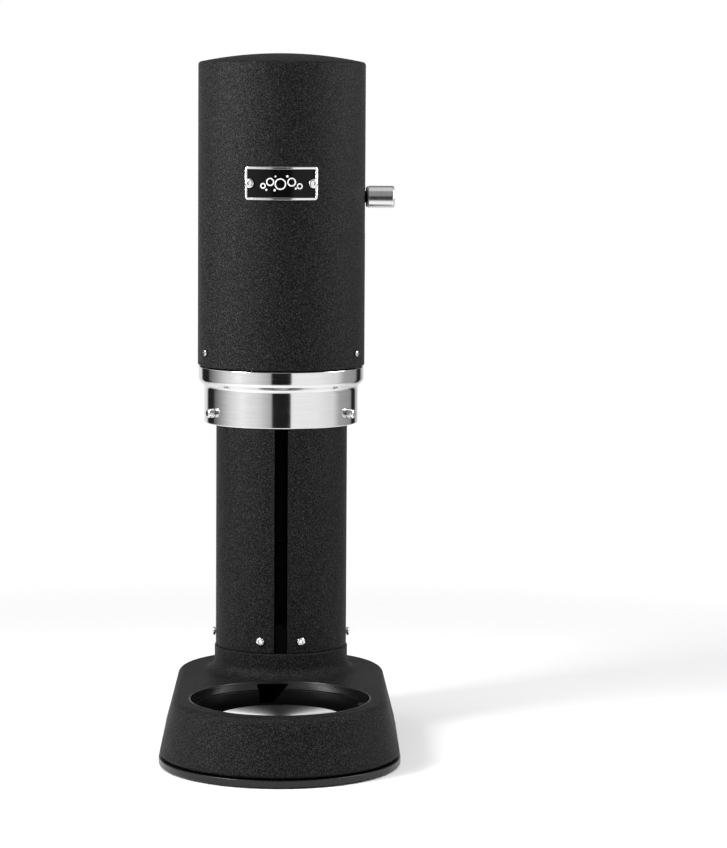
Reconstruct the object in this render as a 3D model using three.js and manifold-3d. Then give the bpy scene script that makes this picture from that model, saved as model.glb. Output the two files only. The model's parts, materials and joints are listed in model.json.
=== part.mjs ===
// A soda carbonator as a three.js scene: a slotted column on a two-circle base, with a head that slides down
// over the bottle. Millimetres, z up, x to the right, the front faces -y, and the origin is under the middle
// of the base. The head is shown raised.
import * as THREE from "three";
import { mergeVertices } from "three/addons/utils/BufferGeometryUtils.js";
import Module from "manifold-3d";

const wasm = await Module();
wasm.setup();

// Driving dimensions. The nozzle axis runs through the head and the well, the column axis through the column.
const AXES_APART = 116;
const NOZZLE_Y = -AXES_APART / 2;
const COLUMN_Y = AXES_APART / 2;
const GAP = 0.3; // kept between pieces that touch
const ROUND = 32; // sides of the largest round shapes

const PLATE = { radius: 82.6, bottom: 1, top: 5.7 };
const FOOT = { radius: 9, top: 2.3 };
const BASE = { skirt: 6.4, deck: 44.8, wall: 3.3 };
const COLLAR = { radius: 47.6, top: 62.6, fillet: 8.2 };
const WELL = { radius: 60.1, mouth: 61.2, ledge: 37.6, wall: 3.3, floor: 8.6 };
const LINER = { radius: 58.7, wall: 1.1, lip: 38.9, floor: 11.3 };
const DISC = { radius: 44.5, top: 31.5 };
const COLUMN = { radius: 46.8, wall: 2, bottom: 62.9, top: 380 };
const SLOT = { width: 9.3, top: 372 };
const FOOT_RING = { inner: 41.8, outer: 44.5, bottom: 44, top: 80 };
const ROD = { radius: 3, orbit: 38.4, angle: 50, bottom: 44 };
const CYLINDER = { radius: 30, bottom: 9.3, top: 332 };
const CARRIAGE = { inner: 32.6, outer: 44.2, halfAngle: 62, bottom: 290, top: 366 };
const HEAD = { radius: 56.4, wall: 2, bottom: 273.5, apex: 483.5, domeRadius: 265, rim: 2.4 };
const GUARD = { inner: 45.8, outer: 47.2, bottom: 240, top: 456 };
const RING = { inner: 47.8, lower: 52, upper: 55.9, bottom: 234.6, top: 272.6 };
const PIN = { radius: 3.05, angle: 60, z: 242.7, reach: 56.9, turn: 18 };
const BADGE = { halfAngle: 24.6, z: 397.3, height: 22, thick: 1.2, screwAngle: 21.2 };
const SHELL_SCREW = { angle: 62, z: 283.2 };
const LEVER = { z: 387.2, travel: 22, knobRadius: 7.5, knobLength: 17.6, neckRadius: 4, flange: 7.1 };
const HEAD_PLATE = { radius: 53.9, bottom: 456.3, top: 459.3 };

const rad = THREE.MathUtils.degToRad;
const finish = (colour, roughness, metalness) =>
  new THREE.MeshStandardMaterial({ color: colour, roughness, metalness });
const powderCoat = finish(0x26272a, 0.75, 0.2);
const gloss = finish(0x101012, 0.25, 0.1);
const blackPlastic = finish(0x18181a, 0.5, 0);
const steel = finish(0xb8babc, 0.3, 1);
const brass = finish(0xb08d4a, 0.35, 1);
const rubber = finish(0x141414, 0.9, 0);
const aluminium = finish(0x9a9ca0, 0.45, 1);

// A turned solid about z. The profile holds [radius, height] pairs, anticlockwise, and it starts and ends on
// the axis or closes on itself.
function turned(profile, sides = 24) {
  const points = profile.map(([r, z]) => new THREE.Vector2(r, z));
  return new THREE.LatheGeometry(points, sides).rotateX(Math.PI / 2);
}

function rod(radius, z0, z1, sides = 12) {
  return turned([[0, z0], [radius, z0], [radius, z1], [0, z1]], sides);
}

function tube(inner, outer, z0, z1, sides = 24) {
  return turned([[inner, z0], [outer, z0], [outer, z1], [inner, z1], [inner, z0]], sides);
}

function box(x0, x1, y0, y1, z0, z1) {
  return new THREE.BoxGeometry(x1 - x0, y1 - y0, z1 - z0)
    .translate((x0 + x1) / 2, (y0 + y1) / 2, (z0 + z1) / 2);
}

// A piece of a tube about z, between two angles in degrees counted from the front, positive to the right.
function sector(inner, outer, from, to, z0, z1, steps = 6) {
  const shape = new THREE.Shape();
  shape.absarc(0, 0, outer, rad(from - 90), rad(to - 90), false);
  shape.absarc(0, 0, inner, rad(to - 90), rad(from - 90), true);
  return new THREE.ExtrudeGeometry(shape, { depth: z1 - z0, bevelEnabled: false, curveSegments: steps })
    .translate(0, 0, z0);
}

// Lays a solid that was turned about z along the radius at an angle from the front.
function radial(geometry, angle, z) {
  return geometry.rotateX(Math.PI / 2).rotateZ(rad(angle)).translate(0, 0, z);
}

function solid(geometry) {
  const bare = geometry.clone();
  bare.deleteAttribute("normal");
  bare.deleteAttribute("uv");
  const merged = mergeVertices(bare, 1e-4);
  const vertProperties = merged.attributes.position.array;
  const triVerts = new Uint32Array(merged.index.array);
  return new wasm.Manifold(new wasm.Mesh({ numProp: 3, vertProperties, triVerts }));
}

function geometryOf(body) {
  const { vertProperties, triVerts } = body.getMesh();
  const geometry = new THREE.BufferGeometry();
  geometry.setAttribute("position", new THREE.BufferAttribute(vertProperties, 3));
  geometry.setIndex(new THREE.BufferAttribute(triVerts, 1));
  geometry.computeVertexNormals();
  return geometry;
}

function join(first, ...others) {
  return geometryOf(others.reduce((body, next) => body.add(solid(next)), solid(first)));
}

function cut(first, ...tools) {
  return geometryOf(tools.reduce((body, tool) => body.subtract(solid(tool)), solid(first)));
}

// The long plan shape of the base: the same profile turned about both axes and carried straight between them.
function twoCircle(profile, sides = ROUND) {
  const section = new THREE.Shape();
  section.moveTo(-profile[0][0], profile[0][1]);
  profile.forEach(([r, z]) => section.lineTo(r, z));
  [...profile].reverse().forEach(([r, z]) => section.lineTo(-r, z));
  const middle = new THREE.ExtrudeGeometry(section, { depth: AXES_APART, bevelEnabled: false })
    .rotateX(Math.PI / 2).translate(0, COLUMN_Y, 0);
  const low = profile[0][1];
  const high = profile[profile.length - 1][1];
  const turning = [[0, low], ...profile, [0, high]];
  return join(
    middle,
    turned(turning, sides).translate(0, NOZZLE_Y, 0),
    turned(turning, sides).translate(0, COLUMN_Y, 0),
  );
}

const pieces = new THREE.Group();
const nozzleSide = new THREE.Group();
const columnSide = new THREE.Group();
nozzleSide.position.y = NOZZLE_Y;
columnSide.position.y = COLUMN_Y;
pieces.add(nozzleSide, columnSide);

function piece(group, name, material, geometry) {
  const mesh = new THREE.Mesh(geometry, material);
  mesh.name = name;
  group.add(mesh);
}

// Where the four feet and the four screws of the bottom plate sit.
const footSpots = {
  front_left: [-62, -88], front_right: [62, -88], rear_left: [-58, 88], rear_right: [58, 88],
};
const screwSpots = {
  front_left: [-47, -105], front_right: [47, -105], rear_left: [-38, 107], rear_right: [38, 107],
};
const PLATE_SCREW = { head: 3.6, shank: 1.9, low: 1.4, seat: 3.4, top: 19, pillar: 4.5 };

// The opening in the back of the well, seen from the front: one side upright, the other slanted.
function wellNotch() {
  const shape = new THREE.Shape();
  shape.moveTo(-15.2, 29);
  shape.lineTo(-4.8, 29);
  shape.lineTo(6.2, 43.4);
  shape.lineTo(-16, 43.4);
  shape.lineTo(-16.7, 41.8);
  shape.lineTo(-15.2, 39);
  const reach = 12;
  return new THREE.ExtrudeGeometry(shape, { depth: reach, bevelEnabled: false })
    .rotateX(Math.PI / 2).translate(0, LINER.radius - 3 + reach, 0);
}

function addBase() {
  const { skirt, deck, wall } = BASE;
  const side = [[82.4, skirt], [78.6, 22], [74.4, 38]];
  const outside = twoCircle([...side, [73.5, 41.4], [71.8, 43.7], [69, deck]]);
  const inside = twoCircle([
    [side[0][0] - wall, skirt - 1],
    [side[1][0] - wall, side[1][1]],
    [side[2][0] - wall, side[2][1] - 1],
    [69 - wall, deck - wall],
  ]);
  const collar = turned([
    [0, deck - wall],
    [COLLAR.radius + COLLAR.fillet, deck - wall],
    ...[0, 30, 60, 90].map((a) => [
      COLLAR.radius + 0.4 + COLLAR.fillet * (1 - Math.sin(rad(a))),
      deck + COLLAR.fillet * (1 - Math.cos(rad(a))),
    ]),
    [COLLAR.radius, COLLAR.top - 1],
    [COLLAR.radius - 0.7, COLLAR.top],
    [0, COLLAR.top],
  ], ROUND).translate(0, COLUMN_Y, 0);
  const bore = turned([
    [0, deck - wall - 1],
    [34.5, deck - wall - 1],
    [34.5, FOOT_RING.bottom - GAP],
    [FOOT_RING.outer + GAP, FOOT_RING.bottom - GAP],
    [FOOT_RING.outer + GAP, COLLAR.top + 1],
    [0, COLLAR.top + 1],
  ]).translate(0, COLUMN_Y, 0);
  const wellWall = tube(50, WELL.radius + WELL.wall, WELL.floor, deck - 2, ROUND).translate(0, NOZZLE_Y, 0);
  const wellHollow = turned([
    [0, WELL.floor - 1],
    [52, WELL.floor - 1],
    [52, LINER.floor - GAP],
    [WELL.radius, LINER.floor - GAP],
    [WELL.radius, WELL.ledge],
    [WELL.mouth, WELL.ledge],
    [WELL.mouth, deck - 0.7],
    [WELL.mouth + 0.8, deck + 0.3],
    [0, deck + 0.3],
  ], ROUND).translate(0, NOZZLE_Y, 0);
  const { shank, top, pillar } = PLATE_SCREW;
  const pillars = Object.values(screwSpots).map(([x, y]) =>
    rod(pillar, skirt, y < 0 ? 30 : deck - 2).translate(x, y, 0));
  const threads = Object.values(screwSpots).map(([x, y]) =>
    rod(shank + GAP, skirt - 1, top + 2, 8).translate(x, y, 0));
  const shell = cut(join(cut(outside, inside), collar, wellWall, ...pillars), bore, wellHollow, ...threads);
  piece(pieces, "base_housing", powderCoat, cut(shell, wellNotch().translate(0, NOZZLE_Y, 0)));
}

function addBottomPlate() {
  const { radius, bottom, top } = PLATE;
  const plate = twoCircle([
    [radius - 0.8, bottom], [radius, bottom + 0.7], [radius, top - 0.5], [radius - 0.5, top],
  ]);
  const hatchHole = rod(34.3, bottom - 1, top + 1, ROUND).translate(0, COLUMN_Y, 0);
  const lugWays = [60, 240].map((angle) =>
    sector(30, 37.5, angle + 90 - 14, angle + 90 + 14, bottom - 1, top + 1, 6).translate(0, COLUMN_Y, 0));
  const pockets = Object.values(footSpots).map(([x, y]) =>
    rod(FOOT.radius + GAP, bottom - 1, FOOT.top + GAP).translate(x, y, 0));
  const { head, shank, low, seat, top: screwTop } = PLATE_SCREW;
  const way = [head + GAP, shank + GAP, seat + GAP];
  const wayShape = [
    [0, bottom - 1],
    [way[0], bottom - 1],
    [way[0], way[2]],
    [way[1], way[2]],
    [way[1], top + 1],
    [0, top + 1],
  ];
  const screwHoles = Object.values(screwSpots).map(([x, y]) => turned(wayShape, 12).translate(x, y, 0));
  piece(pieces, "bottom_plate", gloss, cut(plate, hatchHole, ...lugWays, ...pockets, ...screwHoles));
  for (const [place, [x, y]] of Object.entries(footSpots))
    piece(pieces, "foot_" + place, rubber, rod(FOOT.radius, 0, FOOT.top).translate(x, y, 0));
  for (const [place, [x, y]] of Object.entries(screwSpots)) {
    const screw = turned([
      [0, low], [head, low], [head, seat], [shank, seat], [shank, screwTop], [0, screwTop],
    ], 8);
    piece(pieces, "plate_screw_" + place, steel, screw.translate(x, y, 0));
  }
}

// The hatch under the gas cylinder: two lugs hold it behind the plate until it is turned.
function addHatch() {
  const body = turned([[0, 1.3], [34, 1.3], [34, 5.4], [33, 5.4], [33, 7.8], [0, 7.8]]);
  const lugs = [0, 180].map((angle) => sector(28, 37, angle + 90 - 12, angle + 90 + 12, 6, 7.8, 6));
  const coinSlot = box(-13, 13, -1.3, 1.3, 0, 3);
  piece(columnSide, "cylinder_hatch", blackPlastic, cut(join(body, ...lugs), coinSlot));
}

function addWell() {
  const { radius, wall, lip, floor } = LINER;
  const pedestal = DISC.top - 2 - GAP;
  const liner = turned([
    [0, floor],
    [radius + wall, floor],
    [radius + wall, lip - 1],
    [WELL.mouth - GAP, lip - 1],
    [WELL.mouth - GAP, lip],
    [radius, lip],
    [radius, floor + 1.4],
    [41, floor + 1.4],
    [41, pedestal],
    [38.5, pedestal],
    [38.5, floor + 1.4],
    [0, floor + 1.4],
  ], ROUND);
  piece(nozzleSide, "well_liner", blackPlastic, cut(liner, wellNotch()));
  const disc = [
    [0, DISC.top - 2],
    [DISC.radius - 1.3, DISC.top - 2],
    [DISC.radius - 1.3, DISC.top - 7.5],
    [DISC.radius, DISC.top - 7.5],
    [DISC.radius, DISC.top - 0.6],
    [DISC.radius - 0.6, DISC.top],
    [0, DISC.top],
  ];
  piece(nozzleSide, "drip_disc", steel, turned(disc, ROUND));
  for (const [side, angle] of [["left", PIN.turn - PIN.angle], ["right", PIN.turn + PIN.angle]]) {
    const tab = sector(54.4, WELL.mouth - GAP, angle - 5, angle + 5, 40.1, 43.1, 4);
    const leg = sector(59.2, WELL.mouth - GAP, angle - 5, angle + 5, lip + GAP, 41, 4);
    piece(nozzleSide, "catch_" + side, blackPlastic, join(tab, leg));
  }
}

// A pan-head screw laid along a radius of the column or the head.
function radialScrew(headRadius, headFrom, headTo, shankRadius, shankFrom, angle, z) {
  const shape = [
    [0, shankFrom],
    [shankRadius, shankFrom],
    [shankRadius, headFrom],
    [headRadius, headFrom],
    [headRadius, headTo - 0.6],
    [headRadius - 0.7, headTo],
    [0, headTo],
  ];
  return radial(turned(shape, 8), angle, z);
}

const columnScrews = { front_left: -17.5, front_right: 17.5, side_left: -90, side_right: 90 };
const COLUMN_SCREW_Z = 71.2;

function addColumn() {
  const { radius, wall, bottom, top } = COLUMN;
  const half = SLOT.width / 2;
  const holes = Object.values(columnScrews).map((angle) =>
    radial(rod(1.8, FOOT_RING.inner - 3, radius + 3, 8), angle, COLUMN_SCREW_Z));
  const slot = box(-half, half, -radius - 5, -30, bottom - 5, SLOT.top);
  const shell = cut(tube(radius - wall, radius, bottom, top, ROUND), slot, ...holes);
  piece(columnSide, "column_shell", powderCoat, shell);
  const ring = tube(FOOT_RING.inner, FOOT_RING.outer, FOOT_RING.bottom, FOOT_RING.top);
  const ringSlot = box(-half, half, -radius, -30, FOOT_RING.bottom - 1, FOOT_RING.top + 1);
  piece(columnSide, "column_foot_ring", blackPlastic, cut(ring, ringSlot, ...holes));
  const cap = [
    [0, top + GAP],
    [FOOT_RING.inner, top + GAP],
    [FOOT_RING.inner, top - 5],
    [radius - wall - 0.4, top - 5],
    [radius - wall - 0.4, top + GAP],
    [radius, top + GAP],
    [radius, top + 2.6],
    [radius - 0.8, top + 4],
    [radius - 2.4, top + 4.8],
    [0, top + 6.6],
  ];
  piece(columnSide, "column_cap", powderCoat, turned(cap, ROUND));
  const stop = box(-4.2, 4.2, -44.1, -FOOT_RING.inner + 1, FOOT_RING.bottom + 0.1, 83);
  piece(columnSide, "slot_end_stop", blackPlastic, stop);
  const shankFrom = FOOT_RING.inner - 0.8;
  for (const [place, angle] of Object.entries(columnScrews)) {
    const screw = radialScrew(2.9, radius + GAP, radius + 2.3, 1.5, shankFrom, angle, COLUMN_SCREW_Z);
    piece(columnSide, "column_screw_" + place, steel, screw);
  }
}

function addGasSupply() {
  const { radius, bottom, top } = CYLINDER;
  const body = [
    [0, bottom],
    [radius - 4, bottom],
    [radius, bottom + 4],
    [radius, top - 32],
    [radius - 2, top - 20],
    [radius - 8, top - 10],
    [radius - 16, top - 4],
    [12, top],
    [0, top],
  ];
  piece(columnSide, "gas_cylinder", aluminium, turned(body));
  piece(columnSide, "cylinder_valve", brass, rod(11, top + GAP, top + 34));
  const roof = COLUMN.top - 0.1;
  const socket = [[0, 372.5], [11.5, 372.5], [11.5, 350], [27, 350], [27, roof], [0, roof]];
  piece(columnSide, "valve_socket", aluminium, turned(socket, 20));
  piece(columnSide, "cylinder_cradle", blackPlastic, tube(radius + 0.5, radius + 1.8, 10, 139));
  // angle round the column and height of the hose, from the socket down and up again to the carriage
  const hang = [
    [-115, 366], [-114, 300], [-112, 230], [-106, 205], [-95, 192],
    [-84, 196], [-75, 215], [-70, 250], [-69, 288],
  ];
  const route = hang.map(([angle, z]) => new THREE.Vector3(
    ROD.orbit * Math.sin(rad(angle)), -ROD.orbit * Math.cos(rad(angle)), z));
  const around = new THREE.Shape().absarc(0, 0, 2.4, 0, 2 * Math.PI);
  const hose = new THREE.ExtrudeGeometry(around, {
    extrudePath: new THREE.CatmullRomCurve3(route), steps: 16, curveSegments: 3,
  });
  piece(columnSide, "gas_hose", rubber, hose);
}

// The arm carries the head. Its block runs on the two rods inside the column.
function addCarriage() {
  const { inner, outer, halfAngle, bottom, top } = CARRIAGE;
  const spots = { left: -ROD.angle, right: ROD.angle };
  const place = (geometry, angle) =>
    geometry.translate(ROD.orbit * Math.sin(rad(angle)), -ROD.orbit * Math.cos(rad(angle)), 0);
  const sleeve = 4.3;
  const bores = Object.values(spots).map((angle) => place(rod(sleeve + GAP, bottom - 1, top + 1), angle));
  const block = cut(sector(inner, outer, -halfAngle, halfAngle, bottom, top), ...bores);
  piece(columnSide, "carriage_block", aluminium, block);
  for (const [side, angle] of Object.entries(spots)) {
    const guide = rod(ROD.radius, ROD.bottom, COLUMN.top - 0.1, 16);
    piece(columnSide, "guide_rod_" + side, steel, place(guide, angle));
    const bushing = tube(ROD.radius + GAP, sleeve, bottom + 0.5, top - 0.5, 16);
    piece(columnSide, "bushing_" + side, brass, place(bushing, angle));
  }
  piece(pieces, "carriage_arm", aluminium, box(-4, 4, NOZZLE_Y + 54.4, COLUMN_Y - outer - GAP, bottom, top));
}

function addHeadShell() {
  const { radius, wall, bottom, apex, domeRadius, rim } = HEAD;
  const dome = (r, drop) => apex - drop - (domeRadius - drop - Math.sqrt((domeRadius - drop) ** 2 - r ** 2));
  const inner = radius - wall;
  const spread = [0.35, 0.7];
  const edge = radius - rim;
  const shape = [
    [0, apex - wall],
    ...spread.map((f) => [inner * f, dome(inner * f, wall)]),
    [inner, dome(inner, wall)],
    [inner, bottom],
    [radius - 0.8, bottom],
    [radius, bottom + 0.8],
    [radius, dome(edge, 0) - rim],
    [radius - rim * 0.29, dome(edge, 0) - rim * 0.29],
    [edge, dome(edge, 0)],
    ...spread.toReversed().map((f) => [edge * f, dome(edge * f, 0)]),
    [0, apex],
  ];
  const { z, travel, neckRadius } = LEVER;
  const half = neckRadius + 0.6;
  const armWindow = box(-5.2, 5.2, 45, 60, CARRIAGE.bottom - 4, CARRIAGE.top + 5);
  const leverSlot = box(50, 60, -half, half, z - travel - half, z + half);
  const badgeAngles = [-BADGE.screwAngle, BADGE.screwAngle];
  const badgeHoles = badgeAngles.map((angle) => radial(rod(1.5, 50, 60, 8), angle, BADGE.z));
  const screwHoles = [-SHELL_SCREW.angle, SHELL_SCREW.angle].map((angle) =>
    radial(rod(1.5, 53, 60, 8), angle, SHELL_SCREW.z));
  const shell = cut(turned(shape, ROUND), armWindow, leverSlot, ...badgeHoles, ...screwHoles);
  piece(nozzleSide, "head_shell", powderCoat, shell);

  const low = BADGE.z - BADGE.height / 2;
  const face = radius + GAP + BADGE.thick;
  const plate = sector(radius + GAP, face, -BADGE.halfAngle, BADGE.halfAngle, low, low + BADGE.height);
  const plateHoles = badgeAngles.map((angle) => radial(rod(1.5, 50, 62, 8), angle, BADGE.z));
  piece(nozzleSide, "badge_plate", gloss, cut(plate, ...plateHoles));
  for (const [side, angle] of [["left", -1], ["right", 1]]) {
    const badgeScrew = radialScrew(3.1, face + GAP, face + 1.3, 1.2, 54.8, angle * BADGE.screwAngle, BADGE.z);
    piece(nozzleSide, "badge_screw_" + side, steel, badgeScrew);
    const screwAngle = angle * SHELL_SCREW.angle;
    const shellScrew = radialScrew(2, radius + GAP, radius + 1.9, 1.2, 49.5, screwAngle, SHELL_SCREW.z);
    piece(nozzleSide, "shell_screw_" + side, steel, shellScrew);
  }
}

function addHeadFrame() {
  const foot = [
    [48.1, 262.6],
    [50.5, 262.6],
    [50.5, 274.5],
    [54.1, 274.5],
    [54.1, 291],
    [48.1, 291],
    [48.1, 262.6],
  ];
  const footHoles = [-SHELL_SCREW.angle, SHELL_SCREW.angle].map((angle) =>
    radial(rod(1.5, 45, 60, 8), angle, SHELL_SCREW.z));
  piece(nozzleSide, "head_base_ring", blackPlastic, cut(turned(foot), ...footHoles));
  const rockerWay = box(35, 60, -5, 5, 446, GUARD.top + 1);
  const guard = tube(GUARD.inner, GUARD.outer, GUARD.bottom, GUARD.top);
  piece(nozzleSide, "bottle_guard", steel, cut(guard, rockerWay));
  const spine = sector(48.6, 54, 180 - 14, 180 + 14, 291.3, GUARD.top, 6);
  piece(nozzleSide, "head_spine", aluminium, spine);
  const { radius, bottom, top } = HEAD_PLATE;
  const nozzleHole = rod(8.4, bottom - 1, top + 1);
  const leverNotch = box(16, 60, -7, 7, bottom - 1, top + 1);
  const plate = cut(rod(radius, bottom, top, 24), nozzleHole, leverNotch);
  piece(nozzleSide, "head_plate", aluminium, plate);
}

function addNozzle() {
  const { bottom, top } = HEAD_PLATE;
  const body = [
    [2.8, 446.3],
    [16, 446.3],
    [16, bottom - GAP],
    [8.1, bottom - GAP],
    [8.1, top],
    [2.8, top],
    [2.8, 446.3],
  ];
  piece(nozzleSide, "nozzle_body", blackPlastic, turned(body, 16));
  piece(nozzleSide, "injector_tube", steel, tube(1.4, 2.5, 305, 452, 10));
  const seal = [[6, 441], [16.5, 441], [17.5, 442], [17.5, 446], [6, 446], [6, 441]];
  piece(nozzleSide, "bottle_seal", rubber, turned(seal, 16));
  piece(nozzleSide, "valve_body", brass, tube(3.3, 6.4, top + GAP, 462.2, 12));
  piece(nozzleSide, "valve_spring", steel, tube(3.4, 4.8, 462.5, 465.5, 12));
  const plunger = [[0, 463], [3, 463], [3, 465.8], [4.4, 465.8], [4.4, 467.6], [0, 467.6]];
  piece(nozzleSide, "valve_plunger", steel, turned(plunger, 12));
  piece(nozzleSide, "relief_valve", brass, rod(6, top + GAP, 472).translate(-25, 20, 0));
}

// The lever slides down in its slot and pulls the long end of the rocker, whose short end opens the valve.
function addLever() {
  const pivot = { x: -8, z: 471.5 };
  const across = (radius, length) =>
    rod(radius, -length / 2, length / 2, 16).rotateX(Math.PI / 2).translate(pivot.x, 0, pivot.z);
  const bar = box(-12, 48, -3, 3, pivot.z - 1.5, pivot.z + 1.5);
  const nub = box(-1.5, 1.5, -3, 3, 468, pivot.z);
  piece(nozzleSide, "valve_rocker", steel, cut(join(bar, nub, across(3, 6)), across(1.8, 20)));
  piece(nozzleSide, "rocker_pin", steel, across(1.5, 21));
  const arch = cut(
    box(-12, -4, -9.5, 9.5, HEAD_PLATE.top + GAP, 477.5),
    box(-13, -3, -7, 7, HEAD_PLATE.top - 1, 475),
    across(1.8, 24),
  );
  piece(nozzleSide, "rocker_bracket", aluminium, arch);
  const slider = join(box(50, 52.3, -6, 6, 340, 475.8), box(45.6, 51, -2.4, 2.4, 474.2, 475.8));
  piece(nozzleSide, "lever_slider", steel, slider);
  const alongX = (geometry) => geometry.rotateY(Math.PI / 2).translate(0, 0, LEVER.z);
  const neckEnd = HEAD.radius + 1.7;
  const neck = [
    [0, 52.6],
    [LEVER.neckRadius, 52.6],
    [LEVER.neckRadius, 56.8],
    [LEVER.flange - 0.9, 56.8],
    [LEVER.flange, 57.6],
    [LEVER.flange, neckEnd],
    [0, neckEnd],
  ];
  piece(nozzleSide, "lever_neck", blackPlastic, alongX(turned(neck, 16)));
  const start = neckEnd + GAP;
  const end = start + LEVER.knobLength;
  const r = LEVER.knobRadius;
  const knob = [
    [0, start],
    [r - 0.4, start],
    [r, start + 0.4],
    [r, end - 1.2],
    [r - 0.4, end - 0.35],
    [r - 1.2, end],
    [0, end],
  ];
  piece(nozzleSide, "lever_knob", steel, alongX(turned(knob, 20)));
}

function addLockRing() {
  const { inner, lower, upper, bottom, top } = RING;
  const shape = [
    [inner, bottom],
    [lower - 0.7, bottom],
    [lower, bottom + 0.7],
    [lower, 258.4],
    [lower + 0.6, 259.6],
    [lower + 2.2, 261],
    [upper - 0.7, 262.8],
    [upper, 265.4],
    [upper, top - 0.5],
    [upper - 0.5, top],
    [50.8, top],
    [50.8, 262],
    [inner, 262],
    [inner, bottom],
  ];
  const { radius, angle, z, reach } = PIN;
  const holes = [-angle, angle].map((a) => radial(rod(radius + GAP, inner - 3, lower + 3), a, z));
  piece(nozzleSide, "lock_ring", steel, cut(turned(shape, ROUND), ...holes));
  const pin = [
    [0, 48.2],
    [radius, 48.2],
    [radius, reach - 1.5],
    [radius - 0.8, reach - 0.4],
    [radius - 1.8, reach],
    [0, reach],
  ];
  for (const [side, a] of [["left", -angle], ["right", angle]])
    piece(nozzleSide, "lock_pin_" + side, steel, radial(turned(pin, 16), a, z));
}

addBase();
addBottomPlate();
addHatch();
addWell();
addColumn();
addGasSupply();
addCarriage();
addHeadShell();
addHeadFrame();
addNozzle();
addLever();
addLockRing();

export default pieces;
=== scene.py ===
import json
import math

import bmesh
import bpy
from mathutils import Matrix, Vector


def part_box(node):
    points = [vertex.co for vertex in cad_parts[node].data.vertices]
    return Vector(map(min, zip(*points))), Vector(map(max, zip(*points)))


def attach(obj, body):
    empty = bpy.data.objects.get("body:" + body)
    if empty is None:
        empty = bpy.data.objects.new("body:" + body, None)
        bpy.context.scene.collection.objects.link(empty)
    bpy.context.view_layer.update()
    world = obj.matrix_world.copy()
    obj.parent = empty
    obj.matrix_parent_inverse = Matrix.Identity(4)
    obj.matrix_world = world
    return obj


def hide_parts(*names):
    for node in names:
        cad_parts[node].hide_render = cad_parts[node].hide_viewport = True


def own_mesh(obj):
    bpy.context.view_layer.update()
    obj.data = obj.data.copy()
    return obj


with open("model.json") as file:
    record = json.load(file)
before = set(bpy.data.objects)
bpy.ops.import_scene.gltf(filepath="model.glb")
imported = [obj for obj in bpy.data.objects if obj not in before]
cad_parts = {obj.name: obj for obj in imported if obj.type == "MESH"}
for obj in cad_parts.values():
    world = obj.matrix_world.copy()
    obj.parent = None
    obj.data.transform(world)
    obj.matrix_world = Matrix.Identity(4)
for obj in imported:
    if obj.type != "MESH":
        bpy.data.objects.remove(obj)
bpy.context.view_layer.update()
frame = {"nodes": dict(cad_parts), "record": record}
mm = 0.001
print("frame loaded:", len(frame["nodes"]), "nodes")


# where things are, read from the frame, in millimetres

def ends(node, axis="z"):
    low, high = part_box(node)
    index = "xyz".index(axis)
    return low[index] / mm, high[index] / mm


def middle(node, axis):
    low, high = ends(node, axis)
    return (low + high) / 2


def reach(node):
    # half the width of a round node
    low, high = ends(node, "x")
    return (high - low) / 2


nozzleY = middle("drip_disc", "y")
columnY = middle("column_cap", "y")


# outlines and meshes, all made in millimetres
detail = {
    "fewestSteps": 3, "mostSteps": 14, "stepsPerMm": 1.6,
    "weld": 0.0004, "sliver": 0.0001, "cutWeld": 0.0008, "cutSliver": 0.0004,
}


def rounded(corners):
    # each corner is (x, y) or (x, y, radius), and a radius becomes an arc
    outline = []
    for i, corner in enumerate(corners):
        here = Vector(corner[:2])
        if len(corner) == 2:
            outline.append(tuple(here))
            continue
        radius = corner[2]
        before = (Vector(corners[i - 1][:2]) - here).normalized()
        after = (Vector(corners[(i + 1) % len(corners)][:2]) - here).normalized()
        half = before.angle(after) / 2
        start = here + before * radius / math.tan(half)
        end = here + after * radius / math.tan(half)
        centre = here + (before + after).normalized() * radius / math.sin(half)
        first = math.atan2(start.y - centre.y, start.x - centre.x)
        last = math.atan2(end.y - centre.y, end.x - centre.x)
        turn = (last - first + math.pi) % (2 * math.pi) - math.pi
        steps = round(2 + detail["stepsPerMm"] * radius)
        steps = min(detail["mostSteps"], max(detail["fewestSteps"], steps))
        for k in range(steps + 1):
            angle = first + turn * k / steps
            outline.append((centre.x + radius * math.cos(angle), centre.y + radius * math.sin(angle)))
    return outline


def circlePath(x=0, y=0, steps=128, radius=0):
    path = []
    for i in range(steps):
        angle = 2 * math.pi * i / steps
        across, along = math.sin(angle), -math.cos(angle)
        path.append((x + radius * across, y + radius * along, across, along))
    return path


def twoCirclePath(steps=72):
    # the outline of the base: half a turn about each axis
    path = []
    for y, offset in ((nozzleY, -90), (columnY, 90)):
        for i in range(steps + 1):
            angle = math.radians(offset + 180 * i / steps)
            path.append((0, y, math.sin(angle), -math.cos(angle)))
    return path


def rectanglePath(halfWidth, halfHeight, corner, spacing=1.0):
    path = []
    inX, inY = halfWidth - corner, halfHeight - corner
    turns = ((inX, inY, 0), (-inX, inY, 90), (-inX, -inY, 180), (inX, -inY, 270))
    for i, (x, y, start) in enumerate(turns):
        for k in range(7):
            angle = math.radians(start + 15 * k)
            across, along = math.cos(angle), math.sin(angle)
            path.append((x + corner * across, y + corner * along, across, along))
        px, py, nx, ny = path[-1]
        nextX, nextY, nextStart = turns[(i + 1) % 4]
        angle = math.radians(nextStart)
        goX, goY = nextX + corner * math.cos(angle), nextY + corner * math.sin(angle)
        count = int(math.hypot(goX - px, goY - py) / spacing)
        for k in range(1, count):
            share = k / count
            path.append((px + (goX - px) * share, py + (goY - py) * share, nx, ny))
    return path


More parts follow.
